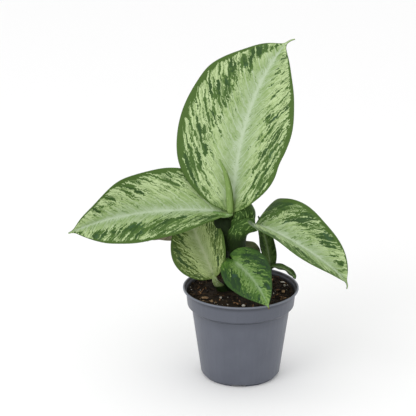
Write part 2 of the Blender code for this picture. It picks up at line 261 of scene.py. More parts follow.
# %% Finishes
class Finish:
    """A node material, made around one Principled shader."""

    def __init__(self, name, roughness=0.5, gloss=0.5):
        self.material = bpy.data.materials.new(name)
        self.material.use_nodes = True
        self.tree = self.material.node_tree
        self.shader = self.tree.nodes["Principled BSDF"]
        self.feed("Roughness", roughness)
        self.feed("Specular IOR Level", gloss)

    def feed(self, socket, value, node=None):
        """Gives a socket of a node, or of the shader, a plain value or a link."""
        target = (node or self.shader).inputs[socket]
        if isinstance(value, Wire):
            self.tree.links.new(value.socket, target)
        elif hasattr(value, "__len__") and target.type == "RGBA":
            target.default_value = (*value[:3], 1)
        else:
            target.default_value = value

    def node(self, kind, settings=None, inputs=None, output=0):
        """Adds a node, sets its options, fills its sockets, and gives one of its outputs."""
        made = self.tree.nodes.new(kind)
        for key, value in (settings or {}).items():
            setattr(made, key, value)
        for socket, value in (inputs or {}).items():
            self.feed(socket, value, made)
        return Wire(self, made.outputs[output])

    def place(self):
        """The place on the piece, in metres."""
        return self.node("ShaderNodeTexCoord", output="Object")

    def attribute(self, name, output="Vector"):
        return self.node("ShaderNodeAttribute", {"attribute_name": name}, output=output)

    def split(self, vector):
        outputs = self.node("ShaderNodeSeparateXYZ", None, {0: vector}).socket.node.outputs
        return [Wire(self, output) for output in outputs]

    def join(self, x, y, z):
        return self.node("ShaderNodeCombineXYZ", None, {0: x, 1: y, 2: z})

    def noise(self, vector, scale=1.0, detail=2.0, distortion=0.0):
        """Smooth noise about 0, mostly between -1 and 1."""
        inputs = {"Vector": vector, "Scale": scale, "Detail": detail, "Distortion": distortion}
        return (self.node("ShaderNodeTexNoise", None, inputs) - 0.5) * 4

    def mix(self, share, first, second):
        """A colour between two others."""
        return self.node("ShaderNodeMix", {"data_type": "RGBA"}, {0: share, 6: first, 7: second}, output=2)

    def layers(self, colour, *coats):
        """A colour under coats of others. Each coat is how much of it there is, and its colour."""
        for share, coat in coats:
            colour = self.mix(share, colour, coat)
        return colour

    def paint(self, colour, *coats):
        self.feed("Base Color", self.layers(colour, *coats))

    def bump(self, height, distance, strength):
        inputs = {"Height": height, "Distance": distance, "Strength": strength}
        self.feed("Normal", self.node("ShaderNodeBump", None, inputs))


def part(values):
    """Numbers kept between 0 and 1."""
    return np.clip(values, 0, 1)


def rgb(red, green, blue):
    """A screen colour, 0 to 255, as the linear light that Blender works with."""
    share = np.array([red, green, blue]) / 255
    return tuple(np.where(share < 0.04045, share / 12.92, ((share + 0.055) / 1.055) ** 2.4))


print("shader helpers ready")

# %% [markdown]
# ## Leaves
# A dieffenbachia leaf is one broad, thin sheet with a midrib, folded a little along it like an open book. It arches,
# swings to one side and twists on its way to the tip. A grower would describe it that way, so `Leaf` does too.
# The values repeat those of the solid leaves, so each fine leaf lies in the space of its solid one.

# %% What a leaf is
@dataclass
class Leaf:
    """A leaf blade in millimetres and degrees. Angles at the base come with how far they change by the tip."""

    base: tuple
    length: float
    width: float
    heading: float
    rise: float
    swing: float = 0.0
    droop: float = 0.0
    roll: float = 0.0
    twist: float = 0.0
    fold: float = 20.0
    curl: float = 0.0
    shoulder: float = 0.55
    point: float = 0.77
    lobe: float = 0.0
    blade_end: float = 0.94
    nod: float = 0.0
    veer: float = 0.0
    rows: int = 24
    fineness: int = 2
    pale: float = 0.0  # how much of the blade is pale
    patches: list = field(default_factory=list)  # darker or paler areas: along, across, both reaches, darkness
    bulges: list = field(default_factory=list)  # uneven places in the margin: side, along, reach, growth
    dry_tip: float = 0.0  # how much of the tip has dried brown, in millimetres
    wave: float = 0.6  # how far the margin waves up and down, in millimetres
    hue: str = "marbled"
    slot: str = "marbled_leaf"


print("a leaf has", len(Leaf.__dataclass_fields__), "measures")

# %% The nine leaves
LEAVES = {
    "leaf_top": Leaf(
        base=(-9.5, 4, 176), length=196, width=131, heading=75, rise=73, swing=-57, droop=27,
        roll=-14, twist=52, fold=25, curl=4, shoulder=0.63, point=0.78, nod=39, veer=-21,
        blade_end=0.935, fineness=3, wave=1.2,
        patches=[(0.62, -0.5, 0.14, 0.2, 0.9), (0.3, -0.62, 0.14, 0.2, 0.5), (0.18, -0.85, 0.12, 0.15, 0.8),
                 (0.85, -0.6, 0.1, 0.3, 0.6), (0.3, 0.72, 0.2, 0.16, 0.9), (0.5, 0.5, 0.08, 0.12, 0.6),
                 (0.08, -0.4, 0.08, 0.4, -0.6), (0.2, -0.35, 0.12, 0.22, -0.7), (0.66, 0.6, 0.1, 0.2, -0.4)],
        bulges=[(-1, 0.2, 0.1, 0.035), (-1, 0.68, 0.06, 0.06), (-1, 0.82, 0.05, -0.06), (-1, 0.96, 0.03, 0.3),
                (1, 0.13, 0.06, 0.04), (1, 0.27, 0.05, -0.07), (1, 0.45, 0.07, 0.035), (1, 0.62, 0.06, -0.02),
                (1, 0.93, 0.04, -0.25)],
    ),
    "leaf_left": Leaf(
        base=(-15.5, 8.6, 175.2), length=167, width=87, heading=172, rise=1.6, swing=41.5, droop=14.6,
        roll=-32, twist=-46, fold=34, curl=3, shoulder=0.5, point=0.76, lobe=0.02, blade_end=0.965,
        fineness=3, wave=0.8,
        patches=[(0.45, -0.52, 0.5, 0.36, 1.25), (0.6, 0.6, 0.12, 0.2, 0.4), (0.35, 0.7, 0.1, 0.2, 0.3),
                 (0.25, 0.3, 0.15, 0.25, -0.8), (0.85, 0.4, 0.1, 0.4, -0.4)],
        bulges=[(1, 0.46, 0.08, -0.03), (1, 0.65, 0.07, 0.07), (1, 0.83, 0.07, -0.14), (-1, 0.84, 0.09, 0.12)],
    ),
    "leaf_right": Leaf(
        base=(14.5, -4, 166.5), length=132, width=74, heading=-57, rise=4, swing=54, droop=56,
        roll=11, twist=31, fold=38, curl=-8, shoulder=0.5, point=0.75, nod=60,
        blade_end=0.93, fineness=3, wave=0.8,
        patches=[(0.2, -0.75, 0.25, 0.3, 0.8), (0.5, -0.6, 0.25, 0.25, 0.6), (0.6, 0.75, 0.2, 0.3, 0.5),
                 (0.45, 0.85, 0.5, 0.3, 0.9), (0.2, 0.4, 0.15, 0.3, -0.6),
                 (0.0, 0.5, 0.1, 1.2, 1.8), (0.12, -0.6, 0.12, 0.5, 0.7)],
        bulges=[(-1, 0.06, 0.08, 0.2), (-1, 0.57, 0.12, -0.05), (1, 0.03, 0.09, -0.5), (1, 0.4, 0.13, -0.15),
                (1, 0.77, 0.08, 0.06)],
    ),
    "leaf_low_left": Leaf(
        base=(-27, -6, 109), length=80, width=61, heading=133, rise=55, swing=4, droop=1,
        roll=-69, twist=24, fold=23, shoulder=0.56, point=0.76, lobe=0.01, pale=0.1, hue="yellowish",
        patches=[(0.5, -0.8, 0.5, 0.25, 1.1), (0.75, -0.7, 0.1, 0.2, 0.6), (0.5, 0.75, 0.5, 0.3, 0.9)],
        bulges=[(-1, 0.5, 0.4, 0.04), (1, 0.5, 0.4, 0.04)],
    ),
    "leaf_front": Leaf(
        base=(-8.5, -13.5, 130.5), length=72, width=47, heading=-45, rise=-20, swing=-26, droop=16,
        roll=40, twist=2, fold=20, curl=8, shoulder=0.48, point=0.9, lobe=0.1, nod=10, pale=-0.9,
        hue="fresh", dry_tip=2.5,
        patches=[(0.4, 0.85, 0.4, 0.3, 1.1), (0.4, -0.85, 0.4, 0.3, 1.1), (0.95, 0.0, 0.15, 1.0, -1.6)],
    ),
    "leaf_narrow": Leaf(
        base=(32, 20, 108.3), length=58, width=15, heading=150, rise=81, droop=16, roll=-50,
        fold=28, shoulder=0.6, point=0.7, pale=-0.6, hue="dark", slot="green_leaf",
    ),
    "leaf_strap": Leaf(
        base=(31.2, 13, 113.2), length=30.5, width=7.6, heading=-2, rise=2, swing=-25, droop=60,
        roll=12, fold=12, curl=-10, shoulder=0.25, point=0.3, blade_end=0.97, pale=-0.9, hue="dark",
        slot="green_leaf",
    ),
    "leaf_withered": Leaf(
        base=(-24, 26, 142.2), length=77, width=19, heading=178, rise=4, swing=6, droop=14,
        roll=-30, blade_end=0.94, nod=150, rows=32, wave=0.9, hue="withered", slot="dry_leaf",
        bulges=[(-1, 0.88, 0.05, 1.0), (1, 0.88, 0.05, 1.0)],
    ),
    "leaf_back": Leaf(
        base=(-1.5, 20, 134), length=26, width=14.5, heading=5, rise=-8, swing=10, droop=50,
        roll=-48, pale=-0.4, hue="dull", slot="green_leaf",
    ),
}
print(len(LEAVES), "leaves")

# %% [markdown]
# The midrib is a line in space that changes its heading and slope little by little. Adding up small steps in the
# direction that it has at each moment gives its places. At each place the blade has a side direction, a forward
# direction and a face direction, which make up a rotation matrix.

# %% The course of a midrib
MIDLINE_STEPS = 240
BEND_POWER = 1.3  # above 1, a leaf bends more towards its tip


def midline(leaf, along):
    """Places and rotation matrices of the blade's rows, at parts of its length."""
    fine = np.linspace(0, 1, MIDLINE_STEPS + 1)
    bend = fine**BEND_POWER
    hook = part((fine - leaf.blade_end) / (1 - leaf.blade_end))
    heading = np.radians(leaf.heading + leaf.swing * bend + leaf.veer * hook)
    rise = np.radians(leaf.rise - leaf.droop * bend - leaf.nod * hook)
    roll = np.radians(leaf.roll + leaf.twist * fine)[:, None]
    level = np.stack([np.cos(heading), np.sin(heading), 0 * heading], axis=-1)
    upward = np.array([0.0, 0.0, 1.0])
    forward = level * np.cos(rise)[:, None] + upward * np.sin(rise)[:, None]
    above = upward * np.cos(rise)[:, None] - level * np.sin(rise)[:, None]
    face = above * np.cos(roll) + np.cross(forward, above) * np.sin(roll)
    side = np.cross(forward, face)
    steps = (forward[1:] + forward[:-1]) / 2 * leaf.length / MIDLINE_STEPS
    place = np.vstack([np.zeros((1, 3)), np.cumsum(steps, axis=0)]) + np.array(leaf.base)
    found = []
    for share in along:
        row = int(round(share * MIDLINE_STEPS))
        found.append((place[row] * MM, Matrix((side[row], forward[row], face[row])).transposed()))
    return found


print("leaf_top's midrib ends at", midline(LEAVES["leaf_top"], [1])[0][0].round(3))

# %% [markdown]
# A leaf's outline rises steeply from the base to the shoulder and closes in more slowly to the point, where a thin
# drip tip goes on. No real margin is that even, so a leaf may have shallow bulges and hollows on either side.

# %% Outline
MIDRIB_HALF_WIDTH = 1.2
TIP_HALF_WIDTH = 0.6


def half_width(leaf, along, side=0):
    """The blade's width on one side of the midrib in millimetres. Side 0 is the outline without its bulges."""
    share = part(along / leaf.blade_end)
    widest = leaf.shoulder / (leaf.shoulder + leaf.point)
    outline = (share / widest) ** leaf.shoulder * ((1 - share) / (1 - widest)) ** leaf.point
    for bulge_side, place, reach, growth in leaf.bulges:
        if bulge_side == side:
            outline = outline * (1 + growth * np.exp(-(((along - place) / reach) ** 2)))
    return leaf.width / 2 * outline + MIDRIB_HALF_WIDTH * np.sqrt(1 - along) + TIP_HALF_WIDTH


print("leaf_top is widest, mm:", round(2 * max(half_width(LEAVES["leaf_top"], np.linspace(0, 1, 50))), 1))

# %% [markdown]
# The blade starts as a flat grid. Each column is swung up about the midrib, which folds the blade. Then each row is
# stretched to the blade's width there, turned to the midrib's direction and moved to its place.
# Rows lie closer together near the base and the tip, where the outline changes fast. Subdivision smooths this cage.

# %% Bend a grid into a leaf
COLUMNS = (-1, -0.8, -0.56, -0.32, -0.1, 0, 0.1, 0.32, 0.56, 0.8, 1)
EASE = 0.7  # how much closer together the rows lie at both ends
LOBE_SPAN = 0.35  # the part of the length over which the margin reaches back past the base
LOBE_POWER = 1.5


def row_places(leaf):
    """Parts of the length where the cage has its rows, closer together at both ends."""
    even = np.linspace(0, 1, leaf.rows + 1)
    eased = (1 - np.cos(np.pi * even)) / 2
    return np.round(((1 - EASE) * even + EASE * eased) * MIDLINE_STEPS) / MIDLINE_STEPS


def leaf_cage(name, leaf):
    """The leaf as a coarse open sheet, with its unrolled layout stored for the material."""
    across = np.array(COLUMNS)
    count = len(across)
    along = row_places(leaf)
    blade = start(name, bpy.ops.mesh.primitive_grid_add, x_subdivisions=count - 1, y_subdivisions=leaf.rows, size=2)
    for column, (out, even) in enumerate(zip(across, np.linspace(-1, 1, count))):
        pick(blade, range(column, count * (leaf.rows + 1), count))
        move(out - even, 0, 0)
        tilt = np.radians(leaf.fold - leaf.curl * abs(out) / 2)
        turn((0, -tilt * np.sign(out), 0))
    widths = {side: half_width(leaf, along, side) for side in (-1, 1)}
    back = leaf.lobe * leaf.length * part(1 - along / LOBE_SPAN) ** 2
    for row, (place, frame_there) in enumerate(midline(leaf, along)):
        first = row * count
        for side, half in ((-1, range(0, count // 2)), (1, range(count // 2, count))):
            pick(blade, [first + column for column in half])
            stretch(widths[side][row] * MM, 0, widths[side][row] * MM)
        for column, out in enumerate(across):
            if back[row] * abs(out) > 0:
                pick(blade, [first + column])
                move(0, -back[row] * abs(out) ** LOBE_POWER * MM, 0)
        pick(blade, range(first, first + count))
        turn(frame_there.to_euler("XYZ"))
        move(*place)
    close_edit()
    layout = np.zeros((leaf.rows + 1, count, 3))
    layout[..., 0] = np.where(across < 0, widths[-1][:, None], widths[1][:, None]) * across
    layout[..., 1] = (along * leaf.length)[:, None] - back[:, None] * np.abs(across) ** LOBE_POWER
    layout[..., 2] = across
    store(blade.data, "layout", layout)
    return blade


print("cage columns:", COLUMNS)

# %% [markdown]
# A real blade isn't smooth. The midrib lies in a groove on top and stands out as a rib below. Side veins leave it at
# about 45 degrees and curve towards the tip, and the blade puffs up softly between them. The margin waves a little.
# No tool draws such lines on a bent sheet, so the points are moved along their normals by a formula.

# %% Veins and waves
SIDE_VEINS = 15  # on each side of the midrib
VEIN_SLOPE = 0.9  # how far a side vein climbs for each millimetre outwards, near the midrib
VEIN_CURVE = 1.0  # how much more it climbs towards the margin
PUFF = 0.00225 / 13  # how high the blade puffs up, for each square millimetre of its length times a vein's spacing
GROOVE = 0.004  # how deep the midrib's groove is, as a part of the length
WAVES = 2.5  # along each margin


def relief(leaf, layout):
    """How far each point stands out from the plain sheet, in millimetres."""
    out, along, share = layout.T
    reached = part(along / leaf.length)
    spacing = leaf.length / SIDE_VEINS
    reach = np.abs(out)
    begun = along - VEIN_SLOPE * reach - VEIN_CURVE * reach**2 / leaf.width + 0.3 * np.sign(out) * spacing
    puff = np.abs(np.sin(np.pi * begun / spacing)) ** 0.7 - 0.6
    fade = part(reach / 6) * part(1.15 - np.abs(share))
    fade *= part(half_width(leaf, reached) / 12)
    groove = np.exp(-((out / (0.012 * leaf.length + 0.5)) ** 2)) * (1 - 0.6 * reached)
    turns = 2 * np.pi * WAVES * along / leaf.length
    wave = leaf.wave * np.abs(share) ** 3 * np.sin(turns + 1.7 * np.sign(out) + leaf.heading)
    wave *= part((1 - along / leaf.length) * 5)
    return PUFF * spacing * leaf.length * puff * fade - GROOVE * leaf.length * groove + wave


print("side veins in leaf_top:", SIDE_VEINS, "a side")

# %% [markdown]
# The bent cage becomes a leaf in four steps: Subdivision Surface smooths it, the relief shapes its upper face,
# Solidify gives it a thickness, and the points below are pushed out along the midrib for the rib.

# %% Thickness and midrib
BLADE_THICKNESS = 0.5
RIB_HEIGHT = 0.011  # as a part of the length


def make_blade(name, leaf):
    blade = leaf_cage(name, leaf)
    subdivide(blade, leaf.fineness)
    mesh = blade.data
    layout = read(mesh, "layout")
    push_out(mesh, relief(leaf, layout))
    top_count = len(mesh.vertices)
    top_normals = normals_of(mesh)
    tone = np.full(top_count, -leaf.pale)
    for along, across, reach_along, reach_across, darkness in leaf.patches:
        distance = ((layout[:, 1] / leaf.length - along) / reach_along) ** 2
        distance += ((layout[:, 2] - across) / reach_across) ** 2
        tone += darkness * np.exp(-distance)
    store(mesh, "tone", tone)
    thicken(blade, BLADE_THICKNESS)
    points = points_of(mesh)
    below = np.arange(len(points)) >= top_count
    if np.mean(np.sum((points[:top_count] - points[top_count:]) * top_normals, axis=1)) < 0:
        below = ~below
    store(mesh, "underside", below)
    layout = read(mesh, "layout")
    rib = np.exp(-((layout[:, 0] / (0.009 * leaf.length + 0.4)) ** 2)) * RIB_HEIGHT * leaf.length
    rib *= part(1 - layout[:, 1] / leaf.length) ** 0.8
    push_out(mesh, rib * below)
    mesh.shade_smooth()
    return blade


print("blades are", BLADE_THICKNESS, "mm thick")

# %% [markdown]
# The marbling follows the veins. A leaf's pale centre breaks up outwards into cream streaks on a green ground, and
# a plain green margin goes all round. So the noise is read in the leaf's own unrolled layout: one axis across the
# veins, where it changes fast, and one along them, where it changes slowly. Each streak has a crisp, wandering edge.

# %% Leaf colours
HUE_PARTS = ("pale", "cream", "tint", "vein", "mid", "dark", "blue", "margin")
HUES = {
    "marbled": [(164, 184, 142), (189, 208, 155), (134, 162, 92), (186, 202, 172),
                (77, 107, 47), (50, 79, 34), (61, 92, 60), (70, 98, 36)],
    "yellowish": [(150, 166, 116), (172, 190, 126), (124, 144, 78), (166, 178, 136),
                  (82, 104, 42), (50, 76, 30), (62, 88, 60), (72, 98, 36)],
    "fresh": [(112, 144, 80), (144, 172, 98), (88, 126, 48), (142, 166, 122),
              (62, 98, 34), (36, 64, 32), (48, 76, 60), (46, 78, 32)],
    "dark": [(88, 108, 60), (76, 102, 45), (64, 88, 38), (112, 130, 92),
             (50, 72, 26), (32, 50, 18), (40, 58, 34), (42, 62, 22)],
    "dull": [(142, 150, 116), (138, 146, 110), (128, 136, 98), (150, 156, 126),
             (116, 124, 86), (98, 106, 72), (108, 114, 88), (116, 124, 86)],
}
HUES = {name: dict(zip(HUE_PARTS, [rgb(*colour) for colour in colours])) for name, colours in HUES.items()}
print("leaf colours:", sorted(HUES))

# %% [markdown]
# Four layers make the finish, from below: the pale ground with its veins, the green streaks and blotches with the
# plain margin, the whitish midrib with the green collar at its base, and the matt underside.

# %% Marbled finish
CRISP = 0.07  # how wide a streak's edge is, as a share of the noise
SIDE_SHIFT = 9  # sets the noise of one half of the blade apart from that of the other
VEIN_WANDER, VEIN_RIPPLE, RUN_SWIRL = 2.0, 1.6, 3.0  # how far the streaks stray from the veins, in millimetres
MARGIN_START, TIP_START, PALE_REACH = (0.875, 0.925), (0.85, 0.98), 0.58  # parts of the half width or the length
DRY_BROWN = rgb(104, 84, 52)
SEED_STEP = 5.3


def marbled_finish(name, leaf, seed):
    hue = HUES[leaf.hue]
    finish = Finish(f"{name} surface", gloss=0.12 if leaf.hue == "dark" else 0.22)
    out, along, share = finish.split(finish.attribute("layout"))
    tone = finish.attribute("tone", "Fac")
    reach = abs(out)
    edge = abs(share)
    side = out.between(-0.05, 0.05) * SIDE_SHIFT
    flat = finish.join(out, along, seed)
    wander = finish.noise(flat, scale=0.12, detail=2)
    ripple = finish.noise(flat, scale=0.36, detail=3)
    swirl = finish.noise(finish.join(along, out, seed + 3), scale=0.3, detail=2)
    begun = along - reach * VEIN_SLOPE - reach * reach * (VEIN_CURVE / leaf.width)
    vein = begun + wander * VEIN_WANDER + ripple * VEIN_RIPPLE
    run = reach + swirl * RUN_SWIRL + side
    size = 0.45 + 0.0033 * leaf.length  # streaks are a little finer on a small leaf

    def streaks(across_vein, along_vein, shift, detail=1.0):
        """Noise with patches this wide across the veins and this long along them, in millimetres."""
        vector = finish.join(vein * (1 / (across_vein * size)), run * (1 / (along_vein * size)), seed + shift)
        return finish.noise(vector, detail=detail)

    clouds = streaks(14, 13, 0)
    worms = streaks(4.6, 9.5, 11, detail=2)
    flecks = streaks(1.6, 3.5, 17)
    hairs = streaks(1.1, 9, 31)
    feathers = streaks(2.4, 14, 41, detail=2)
    rim = (edge + worms * 0.05 + wander * 0.03 + flecks * 0.02).between(*MARGIN_START)
    near_tip = along.between(TIP_START[0] * leaf.length, TIP_START[1] * leaf.length)
    centre = 1 - edge.between(0.0, PALE_REACH)
    ground = tone * 0.7 + clouds * 0.4 - centre * 1.4 - 0.25
    ground = ground - near_tip * (1 - rim) * 0.6 + rim * 2.5
    green = ground + worms * 1.3 + flecks * 0.35
    blotch = green.between(-CRISP, CRISP)
    depth = (green * 0.6 + clouds * 0.5 - rim * 2.0).between(0.1, 0.7)
    blueness = finish.noise(flat, scale=0.07, detail=1).between(0.3, 0.9)
    hairline = (hairs * 1.3 + ground * 0.45 - 0.1).between(0.0, 0.3) * (1 - blotch)
    spacing = leaf.length / SIDE_VEINS
    rays = abs(((begun + wander * 0.6) * (np.pi / spacing) + side).sine())
    ray = (1 - rays.between(0.03, 0.2)) * (1 - edge.between(0.25, 0.8))

    whitish = (1 - (edge + wander * 0.06).between(0.0, 0.14)) * along.between(0.0, 0.12 * leaf.length)
    mist = finish.noise(flat, scale=0.09, detail=2).between(-0.2, 0.7) * edge.between(0.03, 0.2)
    pale = finish.layers(
        hue["pale"],
        (whitish, hue["vein"]),
        (edge.between(0.1, 0.5), hue["cream"]),
        (mist * 0.5 * (1 - edge.between(0.4, 0.7) * 0.8), hue["tint"]),
        (feathers.between(-0.1, 0.6) * edge.between(0.0, 0.1) * 0.65, hue["tint"]),
        (hairs.between(-0.3, 0.7) * 0.4, hue["tint"]),
        (ray * 0.7, hue["vein"]),
        (hairline * 0.7, hue["mid"]),
    )
    leaf_green = finish.layers(
        hue["mid"],
        (depth, finish.mix(blueness, hue["dark"], hue["blue"])),
        (rim * 0.8, hue["margin"]),
        (flecks.between(0.2, 1.0) * 0.25, hue["mid"]),
    )
    midrib_width = 0.004 * leaf.length + 0.4
    midrib = 1 - (reach + wander * 0.3).between(midrib_width * 0.3, midrib_width * 2.2)
    midrib = midrib * (1 - along.between(0.5 * leaf.length, 0.95 * leaf.length))
    colour = finish.layers(pale, (blotch, leaf_green), (midrib * 0.55, hue["vein"]))
    if leaf.dry_tip:
        dried = (along + wander * 0.8).between(leaf.length - leaf.dry_tip, leaf.length - leaf.dry_tip / 2)
        colour = finish.mix(dried, colour, DRY_BROWN)
    collar = 1 - (along + wander * 1.5).between(0.01 * leaf.length, 0.09 * leaf.length)
    below = finish.attribute("underside", "Fac")
    finish.paint(
        colour,
        (collar * 0.75, finish.mix(worms.between(-0.2, 0.3), hue["tint"], hue["mid"])),
        (below * 0.6, finish.mix(midrib * (1 - collar), hue["mid"], hue["pale"])),
    )
    finish.feed("Roughness", 0.45 + below * 0.2 + worms * 0.03)
    grain = finish.noise(finish.place(), scale=2500, detail=2)
    finish.bump(hairs * 0.5 + worms * 0.3 + grain * 0.25, 0.00025, 0.6)
    return finish.material


print("marbled finish ready")

# %% [markdown]
# A withered leaf loses its green: it dries to a grey brown, paler along the veins, with a rough, papery surface.

# %% Withered finish
def withered_finish(name, leaf):
    finish = Finish(f"{name} surface", roughness=0.8)
    out, along, _ = finish.split(finish.attribute("layout"))
    vein = along - abs(out) * VEIN_SLOPE
    threads = finish.noise(finish.join(vein * 0.8, abs(out) * 0.1, 3))
    stains = finish.noise(finish.join(along * 0.08, out * 0.12, 8), detail=3)
    finish.paint(rgb(108, 98, 74), (threads.between(-0.6, 0.8), rgb(142, 134, 108)),
                 (stains.between(0.1, 0.8), rgb(82, 70, 48)))
    finish.bump(threads + stains * 0.5, 0.0004, 0.7)
    return finish.material


print("withered finish ready")

# %% Make the leaves
for number, (name, leaf) in enumerate(LEAVES.items()):
    blade = make_blade(name + "_blade", leaf)
    if leaf.hue == "withered":
        finish = withered_finish(name, leaf)
    else:
        finish = marbled_finish(name, leaf, seed=number * SEED_STEP)
    put(blade, [name], finish)

# %% [markdown]
# ## Stem, stalks and the rolled new leaf
# Each stalk of a dieffenbachia starts as a sheath: a channel, open on one side, that clasps the stem and the stalk
# of the next leaf. Higher up it closes to a rounded stalk with a groove. The cane inside has rings where old leaves
# dropped. All of these are a section that changes its size, shape and direction along a line, which is a loft.
# `loft` shapes a grid row by row: it gathers a row into one point, moves its vertices out to the section's points,
# then turns and moves the row to its place. `tube` makes a closed rod of it, and `channel` a sheet with a wall.

# %% Loft
def course(stations):
    """A smooth line through stations (x, y, z, half width), four rows from each station to the next."""
    stations = np.array(stations, float)
    steps = np.linspace(0, len(stations) - 1, 4 * (len(stations) - 1) + 1)
    known = np.arange(len(stations))
    rows = np.stack([np.interp(steps, known, column) for column in stations.T], axis=-1)
    for _ in range(2):
        rows[1:-1] = (rows[:-2] + 2 * rows[1:-1] + rows[2:]) / 4
    return rows


def facing_frame(forward, keel):
    """A rotation whose Y axis points forward and whose Z axis points away from the keel."""
    forward = Vector(forward).normalized()
    upward = -(Vector(keel) - Vector(keel).dot(forward) * forward).normalized()
    return Matrix((forward.cross(upward), forward, upward)).transposed()


def lengths_along(points):
    """How far along a line of points each one lies."""
    return np.concatenate([[0], np.cumsum(np.linalg.norm(np.diff(points, axis=0), axis=1))])


def loft(name, stations, keel, section, columns):
    """A skin over sections (points in units of a row's half width) set along the course through the stations."""
    rows = course(stations)
    skin = start(name, bpy.ops.mesh.primitive_grid_add, x_subdivisions=columns, y_subdivisions=len(rows) - 1, size=1)
    pick_all()
    stretch(0, 0, 0)
    forward = np.gradient(rows[:, :3], axis=0)
    travelled = lengths_along(rows[:, :3])
    layout = np.zeros((len(rows), columns + 1, 3))
    for number, row in enumerate(rows):
        first = number * (columns + 1)
        points = section(number / (len(rows) - 1)) * row[3]
        for column, (across, upward) in enumerate(points):
            pick(skin, [first + column])
            move(across * MM, 0, upward * MM)
        around = lengths_along(points)
        layout[number, :, 0] = around - around[-1] / 2
        layout[number, :, 1] = travelled[number]
        layout[number, :, 2] = np.linspace(-1, 1, columns + 1)
        pick(skin, range(first, first + columns + 1))
        turn(facing_frame(forward[number], keel).to_euler("XYZ"))
        move(*row[:3] * MM)
    close_edit()
    store(skin.data, "layout", layout)
    return skin


print("loft ready")

# %% Tubes and channels
ROD_SIDES = 16
SHEATH_COLUMNS = 12


def rod_section(groove):
    """A round section with a groove on its upper side, closed, as a function of the part of the length."""
    around = np.linspace(0, 2 * np.pi, ROD_SIDES + 1) - np.pi / 2
    upper = part(np.sin(around)) ** 4

    def section(_):
        size = 1 - groove * upper
        return np.stack([np.cos(around) * size, np.sin(around) * size], axis=-1)

    return section


def channel_section(wrap_start, wrap_end):
    """An open channel: an arc of a circle that goes round by so many degrees, less or more along the length."""
    share = np.linspace(-1, 1, SHEATH_COLUMNS + 1)

    def section(along):
        angle = share * np.radians(wrap_start + (wrap_end - wrap_start) * along) / 2
        return np.stack([np.sin(angle), -np.cos(angle)], axis=-1)

    return section


def tube(name, stations, keel, groove, levels):
    """A rod, closed all round and at its ends."""
    rod = loft(name, stations, keel, rod_section(groove), ROD_SIDES)
    bpy.ops.object.mode_set(mode="EDIT")
    pick_all()
    bpy.ops.mesh.remove_doubles(threshold=1e-6)
    bpy.ops.mesh.select_all(action="DESELECT")
    bpy.ops.mesh.select_non_manifold()
    bpy.ops.mesh.edge_face_add()
    face_outwards()
    close_edit()
    subdivide(rod, levels)
    rod.data.shade_smooth()
    return rod


def channel(name, stations, keel, section, columns, wall):
    """A sheet that goes part of the way round, or once round and over itself, with a wall."""
    sheet = loft(name, stations, keel, section, columns)
    subdivide(sheet, 2)
    thicken(sheet, wall)
    sheet.data.shade_smooth()
    return sheet


print("rods have", ROD_SIDES, "sides")

# %% [markdown]
# Stems are green from end to end, with fine lines along them and pale and dark flecks drawn out the same way.
# The finish reads the loft's unrolled layout, so the flecks run along each stalk however it bends. Below a given
# height some of them are painted a dark green instead: painted shade, where the leaves and sheaths above shade them.

# %% Stalk finishes
def stalk_finish(name, light, middle, dark, flecks, seed, roughness=0.5, painted_shade_below=None):
    """A stalk's surface, more of it light with more flecks. Below a band of heights it is painted dark: painted shade.
    """
    finish = Finish(name, gloss=0.12)
    around, along, _ = finish.split(finish.attribute("layout"))
    lines = finish.noise(finish.join(around * 1.6, along * 0.12, seed), detail=2)
    mottle = finish.noise(finish.join(around * 0.55, along * 0.22, seed + 5), detail=2, distortion=0.6)
    colour = finish.layers(middle, (lines.between(-1, 1), dark), (mottle.between(0.55 - flecks, 0.85 - flecks), light))
    if painted_shade_below:
        # Painted shade: below these heights the colour turns to a dark green.
        height = finish.split(finish.place())[2] * 1000 + lines * 0.6
        shaded = finish.mix(lines.between(-1, 1), rgb(34, 52, 16), rgb(18, 32, 8))
        colour = finish.mix(height.between(*painted_shade_below), shaded, colour)
    finish.feed("Base Color", colour)
    finish.feed("Roughness", roughness + lines * 0.05)
    finish.bump(lines + mottle * 0.5, 0.0003, 0.6)
    return finish.material


STALK_SKIN = stalk_finish("stalk skin", rgb(128, 156, 98), rgb(70, 102, 44), rgb(46, 76, 30), 0.0, 2)
# Painted shade on the sheath skin below 148 to 162 mm.
SHEATH_SKIN = stalk_finish("sheath skin", rgb(118, 148, 80), rgb(64, 94, 38), rgb(40, 66, 22), 0.3, 7,
                           painted_shade_below=(148, 162))
PALE_SKIN = stalk_finish("pale stalk skin", rgb(160, 182, 138), rgb(122, 152, 92), rgb(92, 126, 62), 0.3, 9)
# Painted shade on the old stalk skin below 97 to 99.5 mm.
STUB_SKIN = stalk_finish("old stalk skin", rgb(206, 216, 176), rgb(166, 184, 126), rgb(120, 146, 82), 0.2, 14,
                         painted_shade_below=(97, 99.5))
# The cane's dark colours are partly its own dark green and partly painted shade from the leaves above.
STEM_SKIN = stalk_finish("cane skin", rgb(36, 52, 20), rgb(22, 35, 10), rgb(14, 24, 6), -0.2, 4, 0.6)
# Painted shade: the left sheath's skin is painted dark all over.
PAINTED_SHADE_SHEATH_SKIN = stalk_finish("shaded sheath skin", rgb(44, 62, 22), rgb(26, 42, 12), rgb(16, 28, 7), -0.05, 6, 0.6)
print("stalk finishes ready")

# %% [markdown]
# The cane thickens upwards and shows a low ring each centimetre or so: the scar of an old leaf. The rings are a
# formula on the points' heights, applied after the loft is subdivided. Each station is x, y, z and half width in mm.

# %% Cane and side shoot
RING_SPACING = 9.5
RING_HEIGHT = 0.45
RING_SHARE = 0.07  # a ring's half width, as a part of the spacing
PLAIN_END = 3.0


